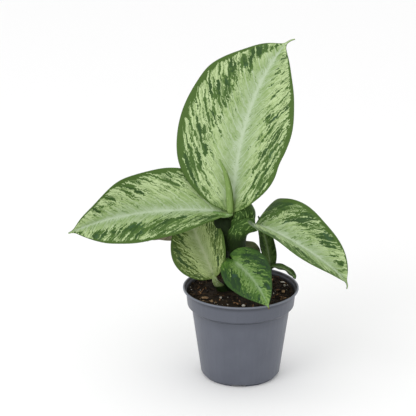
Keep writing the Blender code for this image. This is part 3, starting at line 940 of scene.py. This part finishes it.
def add_cane(name, node, stations):
    cane = tube(name, stations, (0, -1, 0), 0.0, 2)
    height = points_of(cane.data)[:, 2] / MM
    phase = (height - height.min()) / RING_SPACING % 1
    between_ends = (height < height.max() - PLAIN_END) * (height > height.min() + PLAIN_END)
    push_out(cane.data, np.exp(-(((phase - 0.5) / RING_SHARE) ** 2)) * between_ends * RING_HEIGHT)
    put(cane, [node], STEM_SKIN)


add_cane("cane", "stem", [
    (-11, 6, 75, 7), (-10.5, 6, 92, 7.4), (-9.5, 5, 115, 8.6), (-9.5, 5, 140, 9.2), (-9.5, 5, 158, 8.4),
    (-9.8, 5, 166, 7)])
add_cane("side_cane", "side_shoot", [
    (24, 25, 75, 3.6), (24, 25, 88, 3.8), (24.4, 24.5, 93.5, 3.7), (27, 21.5, 99, 3.7)])

# %% [markdown]
# A sheath is the loft of an open channel with a wall put on it by Solidify. The channel's keel, its closed side,
# faces away from the stem. The thin stalks are closed rods with a groove.

# %% Sheaths
SHEATH_WALL = 1.0
STALK_GROOVE = 0.25


def add_sheath(name, node, stations, keel, wrap, skin):
    sheath = channel(name, stations, keel, channel_section(*wrap), SHEATH_COLUMNS, SHEATH_WALL)
    put(sheath, [node], skin)


def add_stalk(name, node, stations, keel_side=1, skin=STALK_SKIN):
    put(tube(name, stations, (0, keel_side, 0), STALK_GROOVE, 1), [node], skin)


add_stalk("top_stalk", "stalk_top", [
    (-7.6, 6.2, 160, 2.6), (-7.9, 5.9, 170, 2.6), (-9.3, 4, 176, 2.2), (-9.5, 3.9, 180, 1.6)], 1, PALE_SKIN)
# The left sheath is broad and painted dark all over: painted shade, which also fills the dark space beside the stem
# between leaf_low_left and leaf_left.
add_sheath("left_sheath", "stalk_left", [
    (-10, 5, 136, 9.9), (-11, 6, 149, 10.6), (-14, 8.5, 158, 12.6), (-16.5, 10, 164, 13.2), (-17, 11, 169, 11.6),
    (-16.5, 11, 172.5, 8.5)], (-0.3, -1, 0), (230, 190), PAINTED_SHADE_SHEATH_SKIN)
add_sheath("crown_sheath", "stalk_top", [
    (-7, 5, 148, 9.8), (-3, 4, 160, 10.4), (2.4, 3.2, 169, 11.2), (3.8, 3.6, 175, 11.2), (2.6, 4.6, 181, 9),
    (0.6, 5.2, 187, 6)], (0.2, -1, 0), (220, 190), SHEATH_SKIN)
add_sheath("right_sheath", "stalk_right", [
    (-6, 4, 126, 10), (-5.6, 3, 138, 10), (-5.4, 1, 149, 10.2), (-3.4, -1.4, 158, 9.8), (1.5, -4, 164.8, 9.8),
    (7, -6.2, 168.4, 10.2), (12, -7.4, 169.6, 10), (15.5, -8, 170, 9)], (0.2, -1, -0.45), (210, 130), SHEATH_SKIN)

# %% Stalks
add_stalk("left_stalk_tip", "stalk_left", [
    (-8.5, -4.8, 176.6, 0.8), (-13, -4.5, 175.4, 1.8), (-18, -2, 174.4, 2.6), (-24, 2.6, 174.2, 3),
    (-29, 7, 174.6, 2.2)], -1, PALE_SKIN)
add_stalk("low_left_stalk", "stalk_low_left", [
    (-17, 2.5, 88, 5.0), (-19.6, 1.2, 93, 5.2), (-23.6, -1.5, 98.2, 4.0), (-26.4, -4.8, 103.4, 3.2),
    (-27.4, -6.4, 108.4, 2.8), (-27.8, -7, 111.6, 1.8)], -1, STUB_SKIN)
add_stalk("front_stalk", "stalk_front", [
    (-9, -5.4, 98, 2.5), (-9, -6.2, 112, 2.5), (-8.6, -12.3, 129.8, 2.2), (-8.5, -13.4, 131, 1.5)])
add_stalk("narrow_stalk", "stalk_narrow", [
    (27.4, 22.6, 97, 1.9), (28.4, 22.6, 99.8, 1.7), (31.8, 20.2, 107.6, 1.5), (32, 20, 109, 1.2)])
add_stalk("strap_stalk", "stalk_strap", [
    (26.6, 20.6, 97, 1.8), (26.6, 19.6, 99.6, 1.6), (28.4, 16, 106.6, 1.5), (30.8, 13.2, 112.8, 1.4)])
add_stalk("withered_stalk", "stalk_withered", [
    (-15.7, 13.9, 112, 2.4), (-18, 18, 128, 2.4), (-23, 25, 141, 2), (-24.5, 26, 142.4, 1.4)], -1)
add_stalk("back_stalk", "stalk_back", [
    (-6.3, 14.8, 98, 2.5), (-5.8, 15.8, 113, 2.5), (-3, 19.6, 133.1, 2), (-1.6, 20, 134, 1.4)], -1)

# %% [markdown]
# The newest leaf is still rolled up like a paper cone, with one margin wound over the other. A spiral section gives
# it: the loft's first column lies inside and the last one outside, where its edge shows as a fine line.

# %% New leaf
ROLL_TURNS = 1.35
ROLL_COLUMNS = 22
ROLL_START = np.radians(55)
ROLL_INNER_REACH = 0.7
ROLL_WALL = 0.35


def roll_section(_):
    share = np.linspace(0, 1, ROLL_COLUMNS + 1)
    angle = 2 * np.pi * ROLL_TURNS * share + ROLL_START
    reach = ROLL_INNER_REACH + (1 - ROLL_INNER_REACH) * share
    return np.stack([np.cos(angle) * reach, np.sin(angle) * reach], axis=-1)


spear = channel("rolled_leaf", [(-10, 4, 160, 2.6), (-10.6, 2.4, 169, 3.0), (-11.3, -0.8, 179, 4.2),
                                (-12.4, 2, 200, 3.7), (-16, 6, 217, 2.3), (-22.5, 10, 231, 0.5)],
                (0, -1, 0), roll_section, ROLL_COLUMNS, ROLL_WALL)
# Painted shade: the rolled leaf is painted dark below 172 to 178 mm, where it goes down among the sheaths.
YOUNG_SKIN = stalk_finish("rolled leaf skin", rgb(160, 180, 122), rgb(136, 162, 96), rgb(112, 142, 72), 0.1, 12,
                          painted_shade_below=(172, 178))
put(spear, ["new_leaf"], YOUNG_SKIN)

# %% [markdown]
# ## Pot
# A nursery pot is blown or pressed from a thin grey sheet of plastic. Seen in section, one line gives all of it: the
# flat foot, the rounded corner, the tapering wall, the step up to a wider band, the rolled rim, and then the inside.
# So a disc is extruded ring after ring, each one stretched to its radius and lifted to its height. `rounded` puts a
# small arc in place of each corner of that line, because no pressed plastic has a sharp one: it finds the arc's
# centre on the line that halves the corner, and swings from one side of the corner to the other.

# %% Profile
POT_SIDES = 128
POT_CORNERS = [  # (radius, height, rounding) from the foot, up the outside, over the rim and down the inside
    (38.0, 0.0, 0.4), (38.1, 1.35, 0.35), (41.2, 3.0, 3.0), (50.9, 74.4, 1.3), (55.4, 78.2, 1.2),
    (57.0, 94.3, 0.7), (60.0, 94.8, 0.4), (60.0, 96.7, 0.5), (58.7, 96.7, 0.4), (57.1, 95.0, 0.9),
    (56.0, 92.6, 1.2), (54.2, 79.4, 1.4), (49.7, 75.2, 1.4), (40.2, 4.0, 6.0),
]


def rounded(corners, steps=6):
    """A line of (radius, height) points with an arc in place of each inner corner."""
    line = [np.array(corners[0][:2], float)]
    for before, here, after in zip(corners, corners[1:], corners[2:]):
        here_at = np.array(here[:2], float)
        to_before = np.array(before[:2]) - here_at
        to_after = np.array(after[:2]) - here_at
        to_before = to_before / np.linalg.norm(to_before)
        to_after = to_after / np.linalg.norm(to_after)
        half = np.arccos(np.clip(to_before @ to_after, -1, 1)) / 2
        reach = here[2] / np.tan(half)
        centre_line = (to_before + to_after) / np.linalg.norm(to_before + to_after)
        centre = here_at + centre_line * here[2] / np.sin(half)
        first = here_at + to_before * reach - centre
        last = here_at + to_after * reach - centre
        span = np.arccos(np.clip(first @ last / (first @ first), -1, 1))
        for step in np.linspace(0, 1, steps):
            angle = span * step
            weights = np.array([np.sin(span - angle), np.sin(angle)]) / np.sin(span)
            line.append(centre + first * weights[0] + last * weights[1])
    line.append(np.array(corners[-1][:2], float))
    return line


pot_line = rounded(POT_CORNERS)
print("profile points:", len(pot_line))

# %% Extrude the pot
FLOOR_INSET = 4.0  # keeps the faces of the pot's floor even


def extrude_rings(line):
    """Extrudes the selected disc along a line of (radius, height) points, which starts at its own."""
    for (radius_before, height_before), (radius, height) in zip(line, line[1:]):
        bpy.ops.mesh.extrude_region()
        stretch(radius / radius_before, radius / radius_before, 1)
        move(0, 0, (height - height_before) * MM)


pot = start("pot_shell", bpy.ops.mesh.primitive_circle_add, vertices=POT_SIDES, radius=pot_line[0][0] * MM,
            fill_type="NGON")
pick_all()
extrude_rings(pot_line)
bpy.ops.mesh.inset(thickness=FLOOR_INSET * MM)
face_outwards()
close_edit()
print("pot shell:", len(pot.data.polygons), "faces")

# %% [markdown]
# Water leaves such a pot through holes in the bottom, and grooves under it let the water run out sideways.
# Boolean modifiers cut both: four round holes, and four bars with rounded edges that reach to the outside.

# %% Drain channels and holes
CHANNEL_TURN = -94
CHANNEL_WIDTH, CHANNEL_HEIGHT, CHANNEL_START, CHANNEL_LENGTH, CHANNEL_EDGE = 15.0, 2.2, 20.0, 20.0, 1.2
HOLE_RADIUS, HOLE_DISTANCE, HOLE_DEPTH = 3.0, 27.0, 20.0
POT_EDGE = np.radians(35)  # edges sharper than this stay sharp


def cut(obj, cutter):
    close_edit()
    apply(obj, "BOOLEAN", operation="DIFFERENCE", solver="EXACT", object=cutter)
    bpy.data.objects.remove(cutter)


def drain_channel(angle):
    cutter = start("channel_cutter", bpy.ops.mesh.primitive_cube_add, size=1)
    pick_all()
    stretch(CHANNEL_LENGTH * MM, CHANNEL_WIDTH * MM, 2 * CHANNEL_HEIGHT * MM)
    bpy.ops.mesh.bevel(offset=CHANNEL_EDGE * MM, segments=3)
    move((CHANNEL_START + CHANNEL_LENGTH / 2) * MM, 0, 0)
    turn((0, 0, angle))
    return cutter


def drain_hole(angle):
    cutter = start("hole_cutter", bpy.ops.mesh.primitive_cylinder_add, vertices=24, radius=HOLE_RADIUS * MM,
                   depth=HOLE_DEPTH * MM)
    pick_all()
    move(HOLE_DISTANCE * MM, 0, 0)
    turn((0, 0, angle))
    return cutter


for quarter in range(4):
    angle = np.radians(CHANNEL_TURN + 90 * quarter)
    cut(pot, drain_channel(angle))
    cut(pot, drain_hole(angle))
choose(pot)
bpy.ops.object.shade_smooth_by_angle(angle=POT_EDGE)
print("pot with drains:", len(pot.data.polygons), "faces")

# %% [markdown]
# The plastic is a bluish grey with a satin surface. Its colour isn't quite even: recycled plastic shows faint clouds
# and specks, the mould leaves faint upright streaks, and soil dust and painted shade darken the inside. The band
# above the step is painted a little darker, the creases under the step and under the flange get painted shade, and
# the lip gets a painted highlight. All of these are bands of height, given in metres.

# %% Pot finish
WALL_AT_STEP = (0.0554, 0.0782)  # radius and height
WALL_SLOPE = 0.099
FLANGE_REACH = 0.0018
FLANGE, FLANGE_FOOT, LIP = (0.0945, 0.0949), (0.0946, 0.095), (0.095, 0.0956)
INSIDE_HEIGHT, INSIDE_DEPTH = (0.080, 0.084), (0.0004, 0.0009)
UNDER_STEP, STEP_LINE, STEP_END, BAND = (0.064, 0.0745), (0.0738, 0.075), (0.0768, 0.0786), (0.074, 0.079)
UNDER_FLANGE = (0.0895, 0.0925)
plastic = Finish("grey pot plastic", gloss=0.4)
spot = plastic.place()
x, y, z = plastic.split(spot)
clouds = plastic.noise(spot, scale=45, detail=3)
specks = plastic.noise(spot, scale=1400, detail=1)
upright = plastic.noise(plastic.join(x * 260, y * 260, z * 6), detail=2)
around_radius = plastic.node("ShaderNodeVectorMath", {"operation": "LENGTH"}, {0: plastic.join(x, y, 0)},
                             output="Value")
wall_radius = WALL_AT_STEP[0] + (z - WALL_AT_STEP[1]) * WALL_SLOPE
flange = z.between(*FLANGE) * FLANGE_REACH
inside = (wall_radius + flange - around_radius).between(*INSIDE_DEPTH) * z.between(*INSIDE_HEIGHT)
# Painted shade in the creases under the step and under the flange.
painted_crease_shade = (z.between(*UNDER_STEP) * 0.3 + z.between(*STEP_LINE) * 0.5) * (1 - z.between(*STEP_END))
painted_crease_shade = (painted_crease_shade + z.between(*UNDER_FLANGE) * (1 - z.between(*FLANGE_FOOT)) * 0.75) * (1 - inside)
dust_and_shade = plastic.noise(spot, scale=320, detail=3).between(-0.8, 0.6)
plastic.paint(
    rgb(87, 91, 102),
    (clouds.between(-1, 1), rgb(93, 97, 108)),
    # The band above the step is painted a little darker all round.
    (z.between(*BAND) * 0.22, rgb(70, 74, 84)),
    (painted_crease_shade, rgb(62, 66, 75)),
    # Painted highlight on the lip.
    (z.between(*LIP) * (1 - inside) * 0.6, rgb(124, 129, 140)),
    (upright.between(-0.6, 1.2) * 0.25, rgb(82, 85, 95)),
    (specks.between(0.7, 1.2) * 0.35, rgb(110, 114, 124)),
    # Soil dust and painted shade darken the inside.
    (inside * (0.65 + dust_and_shade * 0.3), rgb(36, 32, 28)),
)
plastic.feed("Roughness", 0.42 + clouds * 0.04 + inside * 0.3)
plastic.bump(upright * 0.6 + specks * 0.25 + clouds * 0.4, 0.00025, 0.5)
put(pot, ["pot"], plastic.material)

# %% [markdown]
# ## Soil
# Potting soil is peat and bark: dark crumbs of every size with reddish fibres. The ground is a disc of many rings,
# roughened by noise at three scales, and heaped a little against the wall. Loose crumbs, fibres and chips lie on it.
# Each kind is modelled once with only a few dozen faces, then copied, turned, stretched and joined into one piece.

# %% Soil ground
SOIL_TOP = 91.2
SOIL_FOOT = 6.0
SOIL_RADIUS = 55.0
SOIL_SIDES = 160
SOIL_RINGS = 56
HEAP_HEIGHT = 2.4  # how far the soil is heaped up against the wall


def rough_height(x, y):
    """How far the soil stands above its mean level at a place, in millimetres."""
    place = Vector((x, y, 0.0))
    big = noise.noise(place / 16) * 1.6
    middle = noise.noise(place / 5 + Vector((7, 0, 0))) * 1.3
    small = noise.turbulence(place / 2.6, 3, False) * 1.5 - 0.8
    return big + middle + small + HEAP_HEIGHT * (np.hypot(x, y) / SOIL_RADIUS) ** 4


soil_line = [(38.0, SOIL_FOOT), (48.6, 74.0), (52.8, 79.8)]
soil_line += [(SOIL_RADIUS * ring / SOIL_RINGS, SOIL_TOP) for ring in range(SOIL_RINGS, 0, -1)]
ground = start("soil_block", bpy.ops.mesh.primitive_circle_add, vertices=SOIL_SIDES, radius=soil_line[0][0] * MM,
               location=(0, 0, SOIL_FOOT * MM), fill_type="NGON")
pick_all()
extrude_rings(soil_line)
face_outwards()
close_edit()
points = points_of(ground.data) / MM
upper = points[:, 2] > SOIL_TOP - 0.01
points[upper, 2] += [rough_height(x, y) for x, y in points[upper, :2]]
set_points(ground.data, points * MM)
ground.data.shade_smooth()
print("the soil stands", round(points[:, 2].min(), 1), "to", round(points[:, 2].max(), 1), "mm above the floor")

# %% Soil finish
earth = Finish("peat", roughness=0.95, gloss=0.15)
spot = earth.place()
lumps = earth.noise(spot, scale=160, detail=4)
grains = earth.noise(spot, scale=900, detail=3)
earth.paint(rgb(16, 12, 7), (lumps.between(-0.8, 0.8), rgb(52, 42, 29)),
            (grains.between(0.25, 0.9) * 0.6, rgb(84, 62, 42)))
earth.bump(lumps + grains * 0.7, 0.0015, 0.9)
put(ground, ["soil"], earth.material)

# %% [markdown]
# Loose bits lie at random but evenly over the soil, small ones more often than large ones. A fixed seed gives the
# same soil each time. Each copy is turned, stretched and jagged by chance, so that no two look alike.

# %% Scatter loose bits
SCATTER_SHARE = 0.955  # of the soil's area
JAG = 0.13
TILT = 0.5
chance = np.random.default_rng(5)


def join(parts, name):
    choose(*parts)
    bpy.ops.object.join()
    parts[0].name = parts[0].data.name = name
    return parts[0]


def scatter(name, model, count, size, squash, lift, finish):
    """Copies of a model over the soil, joined into one piece. A copy's lift is a part of its size in millimetres."""
    base_points = points_of(model.data)
    copies = []
    for _ in range(count):
        radius = SOIL_RADIUS * np.sqrt(chance.uniform(0, SCATTER_SHARE))
        bearing = chance.uniform(0, 2 * np.pi)
        x, y = radius * np.cos(bearing), radius * np.sin(bearing)
        grown = size[0] * (size[1] / size[0]) ** (chance.uniform() ** 2)
        turned = Euler((chance.normal(0, TILT), chance.normal(0, TILT), chance.uniform(0, 2 * np.pi)))
        stretched = np.array([1, chance.uniform(*squash), chance.uniform(*squash)])
        jag = 1 + chance.normal(0, JAG, (len(base_points), 1))
        points = (base_points * stretched * jag * grown) @ np.array(turned.to_matrix()).T
        copy = model.copy()
        copy.data = model.data.copy()
        set_points(copy.data, (points + [x, y, SOIL_TOP + rough_height(x, y) + lift * grown]) * MM)
        bpy.context.collection.objects.link(copy)
        copies.append(copy)
    put(join(copies, name), [], finish.material)
    bpy.data.objects.remove(model)


print("bits will lie within", round(SOIL_RADIUS * SCATTER_SHARE**0.5, 1), "mm of the middle")

# %% Crumbs and splinters
crumb_skin = Finish("crumbs", roughness=0.95, gloss=0.15)
spot = crumb_skin.place()
shade = crumb_skin.noise(spot, scale=230)
crumb_skin.paint(rgb(20, 15, 9), (shade.between(-0.7, 0.9), rgb(76, 62, 45)))
crumb_skin.bump(crumb_skin.noise(spot, scale=1500, detail=3), 0.0006, 0.8)
crumb = ball("crumb_model", 1)
close_edit()
scatter("soil_crumbs", crumb, count=900, size=(1.2, 4.2), squash=(0.5, 0.95), lift=0.1,
        finish=crumb_skin)

red_skin = Finish("bark crumbs", roughness=0.9, gloss=0.2)
shade = red_skin.noise(red_skin.place(), scale=260)
red_skin.paint(rgb(70, 44, 27), (shade.between(-0.7, 0.7), rgb(152, 116, 80)))
red_skin.bump(shade, 0.0006, 0.8)
splinter = start("splinter_model", bpy.ops.mesh.primitive_cylinder_add, vertices=5, radius=0.5, depth=1.0)
pick_all()
bpy.ops.mesh.subdivide(number_cuts=1)
turn((0, np.pi / 2, 0))
close_edit()
scatter("bark_splinters", splinter, count=110, size=(1.8, 6), squash=(0.12, 0.35), lift=0.18,
        finish=red_skin)

# %% Perlite
grain_skin = Finish("perlite", roughness=0.9, gloss=0.2)
spot = grain_skin.place()
pores = grain_skin.noise(spot, scale=1100, detail=3)
soiling = grain_skin.noise(spot, scale=240)
grain_skin.paint(rgb(206, 202, 190), (soiling.between(-0.2, 1.0) * 0.7, rgb(128, 112, 92)))
grain_skin.bump(pores, 0.0005, 0.8)
speck = ball("speck_model", 1)
close_edit()
scatter("perlite_specks", speck, count=60, size=(0.5, 2.0), squash=(0.6, 0.95), lift=0.3,
        finish=grain_skin)

# %% [markdown]
# A few larger bits have places of their own: flat flakes of bark and perlite, and the chips and grains that are
# solids in the frame. All start as a sphere, stretched to size, with dents cut into it by noise.

# %% Flakes
DENT = 0.3  # how deep the dents in a flake are, as a part of its width
CHIP_EDGE = np.radians(40)
chip_skin = Finish("bark chips", roughness=0.85, gloss=0.2)
x, y, z = chip_skin.split(chip_skin.place())
fibres = chip_skin.noise(chip_skin.join(x * 260, y * 900, z * 900), detail=3)
stain = chip_skin.noise(chip_skin.place(), scale=200)
chip_skin.paint(rgb(112, 86, 58), (fibres.between(-0.8, 0.8), rgb(168, 142, 108)),
                (stain.between(0.0, 1.0) * 0.6, rgb(70, 48, 32)))
chip_skin.bump(fibres, 0.0005, 0.8)


def noise_at(points, scale):
    return np.array([noise.noise(Vector(point / MM) * scale) for point in points])


def lay_flakes(name, finish, flakes):
    """Flakes lying flat at given places: x, y, length, width and bearing of each."""
    parts = []
    for number, (x, y, length, width, bearing) in enumerate(flakes):
        flake = ball(f"{name}_{number}", 2)
        stretch(length * MM, width * MM, 0.5 * width * MM)
        turn((0, 0.15, np.radians(bearing)))
        move(x * MM, y * MM, (SOIL_TOP + rough_height(x, y) + 0.3 * width) * MM)
        close_edit()
        push_out(flake.data, -np.clip(noise_at(points_of(flake.data), 0.9), -0.1, 1) * DENT * width)
        parts.append(flake)
    piece = join(parts, name)
    bpy.ops.object.shade_smooth_by_angle(angle=CHIP_EDGE)
    put(piece, [], finish.material)


lay_flakes("tan_flakes", chip_skin, [
    (-38.5, -27, 3.4, 2.0, 20), (-34, -26, 2.8, 1.8, 70), (-31.5, -29.5, 3.0, 1.6, -30), (-26, -34, 2.4, 1.6, 10),
    (-29, -31.5, 2.0, 1.4, 60), (-42, -22, 2.2, 1.4, 110)])
lay_flakes("grey_flakes", grain_skin, [
    (44.5, 22.5, 6.2, 2.6, 12), (49, 12, 2.2, 1.6, 60), (-14, -40, 1.8, 1.4, 30)])

# %% Chips and grains
def add_lump(name, node, finish, jag, grain_size):
    """A rough lump that fills its solid's box."""
    low, high = (np.array(corner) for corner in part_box(node))
    lump = ball(name, 4)
    stretch(*(high - low))
    move(*((low + high) / 2))
    close_edit()
    points = points_of(lump.data)
    depth = noise_at(points, 1 / grain_size) + 0.5 * noise_at(points, 3 / grain_size)
    push_out(lump.data, -part(depth + 0.3) * jag)
    bpy.ops.object.shade_smooth_by_angle(angle=CHIP_EDGE)
    put(lump, [node], finish.material)


for number in range(1, 5):
    add_lump(f"chip_{number}", f"bark_chip_{number}", chip_skin, 0.7, 2.0)
    add_lump(f"grain_{number}", f"perlite_{number}", grain_skin, 0.6, 1.2)

# %% [markdown]
# The pot stands on white paper in a white room, which lights it softly from all sides. One large lamp from the upper
# left adds the gentle shading and the faint shadow on the paper.

# %% Floor, light and background
FLOOR_SIZE = 8.0
bpy.ops.mesh.primitive_plane_add(size=FLOOR_SIZE)
floor = bpy.context.object
floor.name = "floor"
paper = Finish("floor paper", roughness=0.9)
paper.feed("Base Color", (0.96, 0.96, 0.96))
floor.data.materials.append(paper.material)
world = bpy.data.worlds.new("studio")
bpy.context.scene.world = world
world.use_nodes = True
world.node_tree.nodes["Background"].inputs["Color"].default_value = (1, 1, 1, 1)
world.node_tree.nodes["Background"].inputs["Strength"].default_value = 1.0

KEY_PLACE, KEY_AIM = Vector((-0.9, -1.1, 1.5)), Vector((0, 0, 0.2))
KEY_SIZE, KEY_POWER = 1.0, 7.0
bpy.ops.object.light_add(type="AREA", location=KEY_PLACE)
key = bpy.context.object
key.name = "key"
key.data.shape = "DISK"
key.data.size = KEY_SIZE
key.data.energy = KEY_POWER
key.rotation_euler = (KEY_AIM - KEY_PLACE).to_track_quat("-Z", "Y").to_euler()
bpy.context.scene.view_settings.view_transform = "Standard"
print("lamp at", KEY_PLACE)
